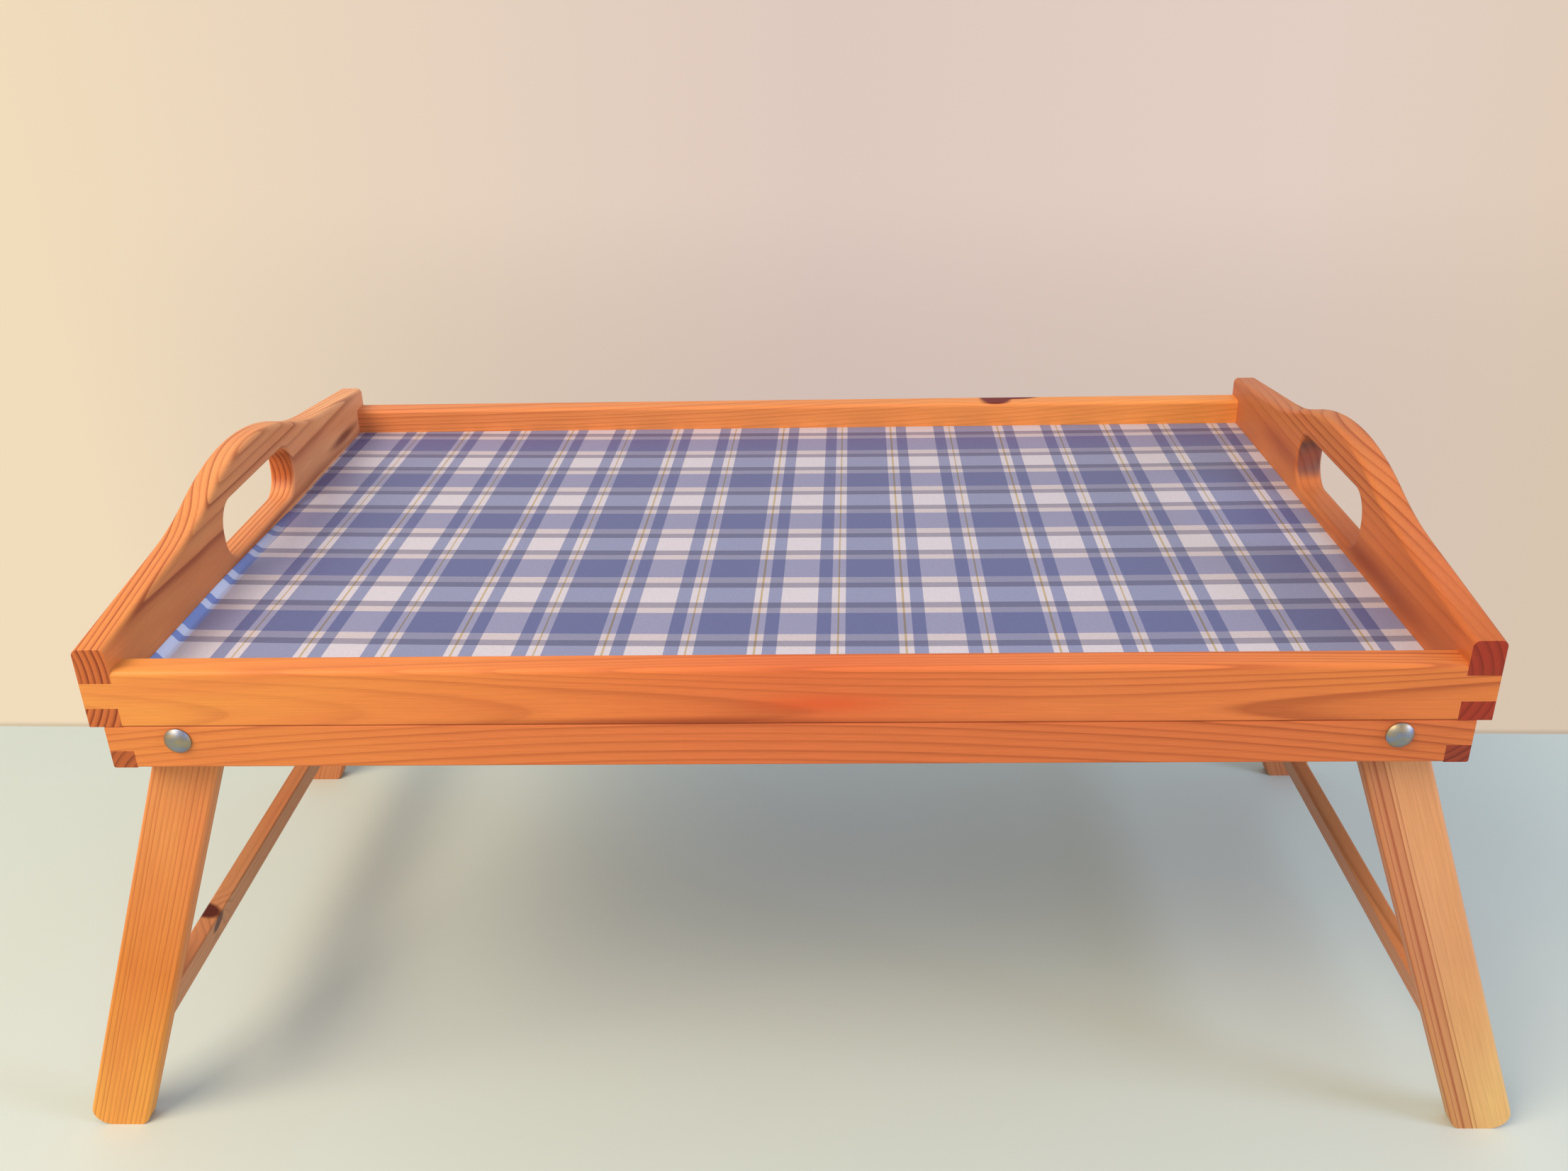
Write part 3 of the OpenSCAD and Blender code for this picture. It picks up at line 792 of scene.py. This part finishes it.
rim = [(i, 0) for i in range(len(xs))] + [(len(xs) - 1, j) for j in range(1, len(ys))]
rim += [(i, len(ys) - 1) for i in range(len(xs) - 2, -1, -1)]
rim += [(0, j) for j in range(len(ys) - 2, 0, -1)]
for (i, j), (k, l) in zip(rim, rim[1:] + rim[:1]):
    mesh.faces.new((top[i][j], under[i][j], under[k][l], top[k][l]))
sheet = bpy.data.objects.new("check_sheet", bpy.data.meshes.new("check_sheet"))
mesh.to_mesh(sheet.data)
mesh.free()
sheet.data.shade_smooth()
sheet.data.set_sharp_from_angle(angle=math.radians(40))
scene.collection.objects.link(sheet)
dress(sheet, check_paper)
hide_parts("panel_laminate")
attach(sheet, "tray")
print("sheet:", len(sheet.data.polygons), "faces")

# %% [markdown]
# ## Turned pieces
# Bolts and nuts are round, so each is a row of rings about its axis. The rings start from a
# list of places along the axis, and a function gives the radius there for every direction.

# %% Helper for turned pieces
def turned(name, places, radius, axis_at, inwards, around=48):
    """A closed piece round an axis along Y. Places and radii are in mm from axis_at."""
    mesh = bmesh.new()
    rows = []
    for number, place in enumerate(places):
        row = []
        for step in range(around):
            angle = 2 * math.pi * step / around
            r = radius(number, place, angle) * MM
            row.append(mesh.verts.new((axis_at[0] + r * math.cos(angle),
                                       axis_at[1] + inwards * place * MM,
                                       axis_at[2] + r * math.sin(angle))))
        rows.append(row)
    for one, two in zip(rows, rows[1:]):
        for k in range(around):
            n = (k + 1) % around
            mesh.faces.new((one[k], one[n], two[n], two[k]))
    mesh.faces.new(rows[0])
    mesh.faces.new(rows[-1])
    bmesh.ops.recalc_face_normals(mesh, faces=mesh.faces)
    piece = bpy.data.objects.new(name, bpy.data.meshes.new(name))
    mesh.to_mesh(piece.data)
    mesh.free()
    piece.data.shade_smooth()
    piece.data.set_sharp_from_angle(angle=math.radians(35))
    scene.collection.objects.link(piece)
    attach(piece, "tray")
    return piece


# %% [markdown]
# ## Zinc
# The bolts, nuts and washers are steel with a bright zinc plating. It is a metal with a soft
# broad glint. Its grey is painted uneven: clouds about 4 mm wide go from a warm to a bluish
# grey, as painted reflections of a warm spot and a blue glint.
# Tumbling in the plating drum leaves dents and dull spots of about half a millimetre, which
# is what a noise in its roughness and relief gives.

# %% Zinc plating
zinc, tree = new_material("bright_zinc_plating")
here = point(tree)
spots = noise_at(tree, here, 0.5 * MM, 3)
cloud = noise_at(tree, here, 4 * MM, 1)
# Painted reflections: warm and bluish clouds in the metal's colour.
tone = ramp(tree, cloud, [(0.36, "#a59a80"), (0.5, "#93948e"), (0.64, "#8a94ab")])
dull = remap(tree, spots, (0.3, 0.7), (0.4, 0.58))
surface_of(tree, {"Base Color": tone, "Metallic": 1.0, "Roughness": dull,
                  "Normal": relief(tree, spots, 0.35, 0.05)})

# %% [markdown]
# ## Nylon
# The spacers between rail and leg, and the ring that makes each nut grip, are natural
# nylon: off-white, dull, and lit a little from inside.

# %% Nylon
nylon, tree = new_material("moulded_nylon")
cloud = noise_at(tree, point(tree), 3 * MM, 2)
tone = ramp(tree, cloud, [(0.3, "#ddd8c9"), (0.7, "#ebe7db")])
surface_of(tree, {"Base Color": tone, "Roughness": 0.5, "IOR": 1.53,
                  "Subsurface Weight": 0.25, "Subsurface Scale": 1.5 * MM})

# %% [markdown]
# ## Bolts
# Each pivot is a mushroom-head bolt: a low dome with a thin straight rim, a plain shank in
# the rail and leg, and a thread that sticks out of the nut. The thread is a helix of
# 0.8 mm pitch, drawn by letting the radius rise and fall with both place and direction.

# %% Bolt shape
shank_r, pitch, thread_depth, thread_length = 2.5, 0.8, 0.45, 8
head_rim, dome_steps, thread_step = 0.6, 14, 0.1
low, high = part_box("bolt_front_left")
head_h = (rail_low.y - low.y) / MM
head_r = (high.z - low.z) / 2 / MM
bolt_end = (high.y - rail_low.y) / MM
thread_from = bolt_end - thread_length
dome_h = head_h - head_rim
dome_r = (head_r ** 2 + dome_h ** 2) / (2 * dome_h)
head_steps = []
for step in range(1, dome_steps + 1):
    angle = math.asin(head_r / dome_r) * step / dome_steps
    head_steps.append((-head_h + dome_r * (1 - math.cos(angle)), dome_r * math.sin(angle)))
head_steps += [(-0.45, head_r), (-0.12, head_r), (-0.02, head_r - 0.1), (-0.01, shank_r)]
bolt_places = [place for place, _ in head_steps] + [0, thread_from - 0.01]
thread_steps = int((bolt_end - thread_from) / thread_step)
bolt_places += [thread_from + thread_step * i for i in range(thread_steps)]
bolt_places.append(bolt_end)


def bolt_radius(number, place, angle):
    """Radius of the bolt, in mm: a dome, a rim, the shank and the thread, worn at its end."""
    if place < 0:
        return head_steps[number][1]
    if place < thread_from:
        return shank_r
    turns = place / pitch - angle / (2 * math.pi)
    valley = abs(2 * (turns % 1) - 1)
    worn = 1 - min(1, (bolt_end - place) / 0.5)
    return shank_r - thread_depth * valley - 0.25 * worn


print("bolt head", round(head_h, 2), "mm high, dome radius", round(dome_r, 2), "mm")

# %% [markdown]
# The same bolt goes in at all four pivots, each with its head outwards.

# %% Bolts
pivots = {}
for name in sorted(nodes):
    if name.startswith("bolt_"):
        low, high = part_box(name)
        inwards = 1 if "front" in name else -1
        middle = (low + high) / 2
        pivots[name[5:]] = (Vector((middle.x, inwards * rail_low.y, middle.z)), inwards)
        bolt = turned("turned_" + name, bolt_places, bolt_radius, *pivots[name[5:]])
        dress(bolt, zinc)
        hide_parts(name)
print("pivots:", list(pivots))

# %% [markdown]
# ## Lock nuts
# A lock nut is a hexagon whose corners are turned off at both faces, with a round collar
# on its inner side. The collar's lip holds a nylon ring that grips the thread. The hexagon
# is a radius that changes with direction, and each chamfer is a cone that cuts it.

# %% Lock nuts
nut_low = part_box("lock_nuts")[0]
nut_from = (nut_low.y - rail_low.y) / MM
flat, hex_height = 4.0, 3.8
nylon_from, nylon_r = 4.7, 3.02
nut_places = [0, 0.1, 0.2, 0.3, 0.45, 3.35, 3.5, 3.6, 3.7, hex_height]
nut_rings = [(hex_height, 3.7), (4.6, 3.7), (4.85, 3.6), (5.0, 3.35), (5.0, 3.05),
             (4.75, 3.0), (4.75, 2.56)]


def nut_radius(number, place, angle):
    """Radius of the nut, in mm, at a place from its flat face."""
    if number >= len(nut_places):
        return nut_rings[number - len(nut_places)][1]
    corner = flat / math.cos((angle % (math.pi / 3)) - math.pi / 6)
    from_face = min(place - nut_from, hex_height - place + nut_from)
    return min(corner, flat * 0.98 + from_face * 1.6)


nut_list = [nut_from + p for p in nut_places] + [nut_from + p for p, _ in nut_rings]
for name, (at, inwards) in pivots.items():
    nut = turned("lock_nut_" + name, nut_list, nut_radius, at, inwards, around=72)
    dress(nut, zinc, nylon)
    for face in nut.data.polygons:
        out = (face.center.x - at.x) ** 2 + (face.center.z - at.z) ** 2
        inside = abs(face.center.y - at.y) > (nut_from + nylon_from) * MM
        if inside and out < (nylon_r * MM) ** 2:
            face.material_index = 1
    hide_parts("lock_nuts")
soften("nut_washers", 0.12)
dress(nodes["nut_washers"], zinc)
soften("pivot_spacers", 0.15)
dress(nodes["pivot_spacers"], nylon)
print("nuts start", round(nut_from, 2), "mm in from the rail's face")

# %% [markdown]
# ## Hardboard
# The panel is hardboard: wood fibres pressed hot against a steel plate above and a wire
# screen below. The underside keeps the screen's print, a grid of dimples 1.3 mm apart,
# and loose darker fibres. Its surface is dull brown.

# %% Hardboard
material, tree = new_material("pressed_hardboard")
here = point(tree)
waves = []
for axis in ("X", "Y"):
    wave = coordinate(tree, here, axis)
    wave = calc(tree, "MULTIPLY", wave, 2 * math.pi / (1.3 * MM))
    waves.append(calc(tree, "SINE", wave))
grid = calc(tree, "MULTIPLY", waves[0], waves[1])
fibre = add(tree, "TexNoise", {}, {"Vector": here, "Scale": 1 / (1.6 * MM), "Detail": 4,
                                   "Roughness": 0.65, "Distortion": 1.2})
cloud = noise_at(tree, here, 28 * MM, 2)
tone = ramp(tree, fibre, [(0.25, "#5d3f27"), (0.5, "#7a5638"), (0.8, "#93704c")])
shade = remap(tree, cloud, (0.3, 0.7), (0.88, 1.08))
tone = scaled(tree, tone, shade)
height = calc(tree, "MULTIPLY_ADD", fibre, 0.8, grid)
surface_of(tree, {"Base Color": tone, "Roughness": 0.72, "Specular IOR Level": 0.35,
                  "Normal": relief(tree, height, 0.6, 0.1)})
dress(nodes["tray_panel"], material)

# %% [markdown]
# ## Beech
# The dowels in the stretchers are bare beech: pale, close and dry, with the short brown
# flecks of its rays, about 3 mm long, along the dowel. They only show if the table comes
# apart.

# %% Beech
material, tree = new_material("bare_beech")
stretch = (1 / (0.5 * MM), 1 / (3 * MM), 1 / (0.5 * MM))
drawn = vector_calc(tree, "MULTIPLY", point(tree), stretch)
fleck = noise_at(tree, drawn, 1, 2)
tone = ramp(tree, fleck, [(0.35, "#b98f63"), (0.5, "#d6b184"), (0.7, "#e0c096")])
surface_of(tree, {"Base Color": tone, "Roughness": 0.62,
                  "Normal": relief(tree, fleck, 0.3, 0.05)})
for name in ("left_stretcher_dowels", "right_stretcher_dowels"):
    dress(nodes[name], material)

# %% [markdown]
# ## The size
# The looks must not change the object's size, so the size of what is shown is printed.

# %% Sizes
low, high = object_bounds()
print("visual size", [round(v, 4) for v in high - low])
